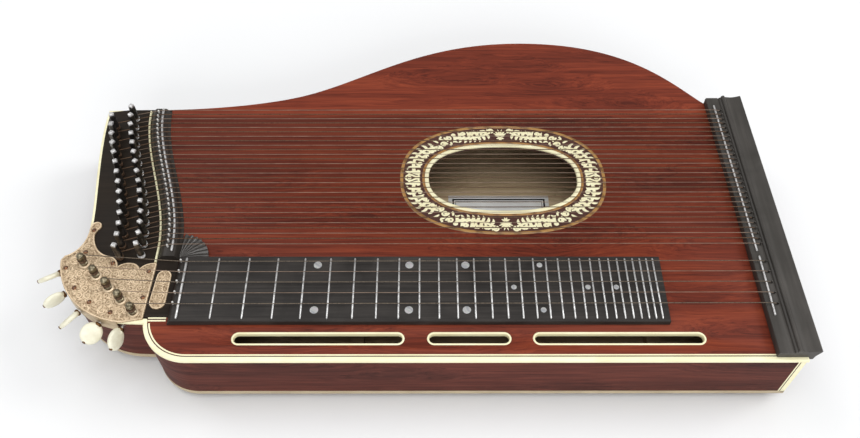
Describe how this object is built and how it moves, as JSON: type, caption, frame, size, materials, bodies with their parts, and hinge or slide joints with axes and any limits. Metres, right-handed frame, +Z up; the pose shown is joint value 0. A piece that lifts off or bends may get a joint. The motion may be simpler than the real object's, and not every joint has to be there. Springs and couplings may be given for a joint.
{
  "type": "concert zither",
  "caption": "Flat wooden zither with a fretted board, melody strings on geared machines, accompaniment strings on upright tuning pins, and an oval sound hole.",
  "frame": {"origin": "under the middle of the whole instrument, at the level its feet stand on", "axes": "+X along the strings from the tuning pins to the hitch rail, +Y away from the player, +Z up"},
  "size_m": [0.562, 0.3204, 0.081],
  "materials": {
    "wood_top": "satin rosewood",
    "wood_side": "satin rosewood",
    "pale_wood": "bare maple and spruce",
    "ivory": "ivory-coloured celluloid",
    "rosette": "inlaid ring with ivory-coloured scrolls",
    "ebony": "ebonised, satin",
    "steel": "nickelled steel",
    "string_wire": "steel and wound strings",
    "pearl": "mother-of-pearl dots",
    "engraved_metal": "engraved silvered brass",
    "paper": "blank paper label with a dark border",
    "button_ivory": "ivory-coloured button on a steel worm shaft",
    "post_iron": "aged iron post with a brass wheel"
  },
  "bodies": {
    "body": {"soundboard": "wood_top", "back_plate": "wood_side", "side_ribs": "wood_side", "pin_block": "pale_wood", "tail_block": "pale_wood", "braces": "pale_wood", "edge_bindings": "ivory", "rosette": "rosette", "head_veneer": "ebony", "nut_rail": "ebony", "saddle_wires": "steel", "string_pins": "steel", "strings": "string_wire", "fretboard": "ebony", "frets": "steel", "fret_markers": "pearl", "hitch_rail": "ebony", "machine_plate": "engraved_metal", "plate_screws": "engraved_metal", "label": "paper", "feet": "ebony"},
    "tuning_pin_01": {"tuning_pin_01": "steel"},
    "tuning_pin_02": {"tuning_pin_02": "steel"},
    "tuning_pin_03": {"tuning_pin_03": "steel"},
    "tuning_pin_04": {"tuning_pin_04": "steel"},
    "tuning_pin_05": {"tuning_pin_05": "steel"},
    "tuning_pin_06": {"tuning_pin_06": "steel"},
    "tuning_pin_07": {"tuning_pin_07": "steel"},
    "tuning_pin_08": {"tuning_pin_08": "steel"},
    "tuning_pin_09": {"tuning_pin_09": "steel"},
    "tuning_pin_10": {"tuning_pin_10": "steel"},
    "tuning_pin_11": {"tuning_pin_11": "steel"},
    "tuning_pin_12": {"tuning_pin_12": "steel"},
    "tuning_pin_13": {"tuning_pin_13": "steel"},
    "tuning_pin_14": {"tuning_pin_14": "steel"},
    "tuning_pin_15": {"tuning_pin_15": "steel"},
    "tuning_pin_16": {"tuning_pin_16": "steel"},
    "tuning_pin_17": {"tuning_pin_17": "steel"},
    "tuning_pin_18": {"tuning_pin_18": "steel"},
    "tuning_pin_19": {"tuning_pin_19": "steel"},
    "tuning_pin_20": {"tuning_pin_20": "steel"},
    "tuning_pin_21": {"tuning_pin_21": "steel"},
    "tuning_pin_22": {"tuning_pin_22": "steel"},
    "tuning_pin_23": {"tuning_pin_23": "steel"},
    "tuning_pin_24": {"tuning_pin_24": "steel"},
    "tuning_pin_25": {"tuning_pin_25": "steel"},
    "tuning_pin_26": {"tuning_pin_26": "steel"},
    "tuning_pin_27": {"tuning_pin_27": "steel"},
    "tuning_pin_28": {"tuning_pin_28": "steel"},
    "tuning_pin_29": {"tuning_pin_29": "steel"},
    "tuner_1": {"tuner_1": "button_ivory"},
    "string_post_1": {"string_post_1": "post_iron"},
    "tuner_2": {"tuner_2": "button_ivory"},
    "string_post_2": {"string_post_2": "post_iron"},
    "tuner_3": {"tuner_3": "button_ivory"},
    "string_post_3": {"string_post_3": "post_iron"},
    "tuner_4": {"tuner_4": "button_ivory"},
    "string_post_4": {"string_post_4": "post_iron"},
    "tuner_5": {"tuner_5": "button_ivory"},
    "string_post_5": {"string_post_5": "post_iron"}
  },
  "joints": [
    {"name": "tuning_pin_01_turn", "type": "hinge", "parent": "body", "child": "tuning_pin_01", "pos_m": [-0.23641, 0.06435, 0.062], "axis": [0, 0, 1], "continuous": true},
    {"name": "tuning_pin_02_turn", "type": "hinge", "parent": "body", "child": "tuning_pin_02", "pos_m": [-0.25089, 0.05495, 0.062], "axis": [0, 0, 1], "continuous": true},
    {"name": "tuning_pin_03_turn", "type": "hinge", "parent": "body", "child": "tuning_pin_03", "pos_m": [-0.23511, 0.05451, 0.062], "axis": [0, 0, 1], "continuous": true},
    {"name": "tuning_pin_04_turn", "type": "hinge", "parent": "body", "child": "tuning_pin_04", "pos_m": [-0.24896, 0.04495, 0.062], "axis": [0, 0, 1], "continuous": true},
    {"name": "tuning_pin_05_turn", "type": "hinge", "parent": "body", "child": "tuning_pin_05", "pos_m": [-0.2332, 0.04467, 0.062], "axis": [0, 0, 1], "continuous": true},
    {"name": "tuning_pin_06_turn", "type": "hinge", "parent": "body", "child": "tuning_pin_06", "pos_m": [-0.24652, 0.03495, 0.062], "axis": [0, 0, 1], "continuous": true},
    {"name": "tuning_pin_07_turn", "type": "hinge", "parent": "body", "child": "tuning_pin_07", "pos_m": [-0.23079, 0.03483, 0.062], "axis": [0, 0, 1], "continuous": true},
    {"name": "tuning_pin_08_turn", "type": "hinge", "parent": "body", "child": "tuning_pin_08", "pos_m": [-0.24368, 0.02495, 0.062], "axis": [0, 0, 1], "continuous": true},
    {"name": "tuning_pin_09_turn", "type": "hinge", "parent": "body", "child": "tuning_pin_09", "pos_m": [-0.22799, 0.02499, 0.062], "axis": [0, 0, 1], "continuous": true},
    {"name": "tuning_pin_10_turn", "type": "hinge", "parent": "body", "child": "tuning_pin_10", "pos_m": [-0.24058, 0.01495, 0.062], "axis": [0, 0, 1], "continuous": true},
    {"name": "tuning_pin_11_turn", "type": "hinge", "parent": "body", "child": "tuning_pin_11", "pos_m": [-0.22494, 0.01515, 0.062], "axis": [0, 0, 1], "continuous": true},
    {"name": "tuning_pin_12_turn", "type": "hinge", "parent": "body", "child": "tuning_pin_12", "pos_m": [-0.23734, 0.00495, 0.062], "axis": [0, 0, 1], "continuous": true},
    {"name": "tuning_pin_13_turn", "type": "hinge", "parent": "body", "child": "tuning_pin_13", "pos_m": [-0.22176, 0.00531, 0.062], "axis": [0, 0, 1], "continuous": true},
    {"name": "tuning_pin_14_turn", "type": "hinge", "parent": "body", "child": "tuning_pin_14", "pos_m": [-0.23408, -0.00505, 0.062], "axis": [0, 0, 1], "continuous": true},
    {"name": "tuning_pin_15_turn", "type": "hinge", "parent": "body", "child": "tuning_pin_15", "pos_m": [-0.21855, -0.00453, 0.062], "axis": [0, 0, 1], "continuous": true},
    {"name": "tuning_pin_16_turn", "type": "hinge", "parent": "body", "child": "tuning_pin_16", "pos_m": [-0.23094, -0.01505, 0.062], "axis": [0, 0, 1], "continuous": true},
    {"name": "tuning_pin_17_turn", "type": "hinge", "parent": "body", "child": "tuning_pin_17", "pos_m": [-0.21545, -0.01437, 0.062], "axis": [0, 0, 1], "continuous": true},
    {"name": "tuning_pin_18_turn", "type": "hinge", "parent": "body", "child": "tuning_pin_18", "pos_m": [-0.22803, -0.02505, 0.062], "axis": [0, 0, 1], "continuous": true},
    {"name": "tuning_pin_19_turn", "type": "hinge", "parent": "body", "child": "tuning_pin_19", "pos_m": [-0.21257, -0.02421, 0.062], "axis": [0, 0, 1], "continuous": true},
    {"name": "tuning_pin_20_turn", "type": "hinge", "parent": "body", "child": "tuning_pin_20", "pos_m": [-0.22549, -0.03505, 0.062], "axis": [0, 0, 1], "continuous": true},
    {"name": "tuning_pin_21_turn", "type": "hinge", "parent": "body", "child": "tuning_pin_21", "pos_m": [-0.21003, -0.03405, 0.062], "axis": [0, 0, 1], "continuous": true},
    {"name": "tuning_pin_22_turn", "type": "hinge", "parent": "body", "child": "tuning_pin_22", "pos_m": [-0.22344, -0.04505, 0.062], "axis": [0, 0, 1], "continuous": true},
    {"name": "tuning_pin_23_turn", "type": "hinge", "parent": "body", "child": "tuning_pin_23", "pos_m": [-0.20795, -0.04389, 0.062], "axis": [0, 0, 1], "continuous": true},
    {"name": "tuning_pin_24_turn", "type": "hinge", "parent": "body", "child": "tuning_pin_24", "pos_m": [-0.22201, -0.05505, 0.062], "axis": [0, 0, 1], "continuous": true},
    {"name": "tuning_pin_25_turn", "type": "hinge", "parent": "body", "child": "tuning_pin_25", "pos_m": [-0.20646, -0.05373, 0.062], "axis": [0, 0, 1], "continuous": true},
    {"name": "tuning_pin_26_turn", "type": "hinge", "parent": "body", "child": "tuning_pin_26", "pos_m": [-0.22132, -0.06505, 0.062], "axis": [0, 0, 1], "continuous": true},
    {"name": "tuning_pin_27_turn", "type": "hinge", "parent": "body", "child": "tuning_pin_27", "pos_m": [-0.20567, -0.06357, 0.062], "axis": [0, 0, 1], "continuous": true},
    {"name": "tuning_pin_28_turn", "type": "hinge", "parent": "body", "child": "tuning_pin_28", "pos_m": [-0.22128, -0.07505, 0.062], "axis": [0, 0, 1], "continuous": true},
    {"name": "tuning_pin_29_turn", "type": "hinge", "parent": "body", "child": "tuning_pin_29", "pos_m": [-0.20558, -0.07341, 0.062], "axis": [0, 0, 1], "continuous": true},
    {"name": "tuner_1_turn", "type": "hinge", "parent": "body", "child": "tuner_1", "pos_m": [-0.2494, -0.07545, 0.056], "axis": [-0.8829, -0.4695, 0], "continuous": true},
    {"name": "string_post_1_turn", "type": "hinge", "parent": "body", "child": "string_post_1", "pos_m": [-0.24658, -0.08075, 0.056], "axis": [0, 0, 1], "continuous": true},
    {"name": "tuner_2_turn", "type": "hinge", "parent": "body", "child": "tuner_2", "pos_m": [-0.23936, -0.08655, 0.056], "axis": [-0.766, -0.6428, 0], "continuous": true},
    {"name": "string_post_2_turn", "type": "hinge", "parent": "body", "child": "string_post_2", "pos_m": [-0.23551, -0.09115, 0.056], "axis": [0, 0, 1], "continuous": true},
    {"name": "tuner_3_turn", "type": "hinge", "parent": "body", "child": "tuner_3", "pos_m": [-0.22917, -0.09786, 0.056], "axis": [-0.6157, -0.788, 0], "continuous": true},
    {"name": "string_post_3_turn", "type": "hinge", "parent": "body", "child": "string_post_3", "pos_m": [-0.22444, -0.10155, 0.056], "axis": [0, 0, 1], "continuous": true},
    {"name": "tuner_4_turn", "type": "hinge", "parent": "body", "child": "tuner_4", "pos_m": [-0.21876, -0.10932, 0.056], "axis": [-0.4384, -0.8988, 0], "continuous": true},
    {"name": "string_post_4_turn", "type": "hinge", "parent": "body", "child": "string_post_4", "pos_m": [-0.21337, -0.11195, 0.056], "axis": [0, 0, 1], "continuous": true},
    {"name": "tuner_5_turn", "type": "hinge", "parent": "body", "child": "tuner_5", "pos_m": [-0.20812, -0.1209, 0.056], "axis": [-0.2419, -0.9703, 0], "continuous": true},
    {"name": "string_post_5_turn", "type": "hinge", "parent": "body", "child": "string_post_5", "pos_m": [-0.2023, -0.12235, 0.056], "axis": [0, 0, 1], "continuous": true}
  ],
  "couplings": [
    {"joint": "string_post_1_turn", "follows": "tuner_1_turn", "ratio": -0.071429},
    {"joint": "string_post_2_turn", "follows": "tuner_2_turn", "ratio": -0.071429},
    {"joint": "string_post_3_turn", "follows": "tuner_3_turn", "ratio": -0.071429},
    {"joint": "string_post_4_turn", "follows": "tuner_4_turn", "ratio": -0.071429},
    {"joint": "string_post_5_turn", "follows": "tuner_5_turn", "ratio": -0.071429}
  ]
}
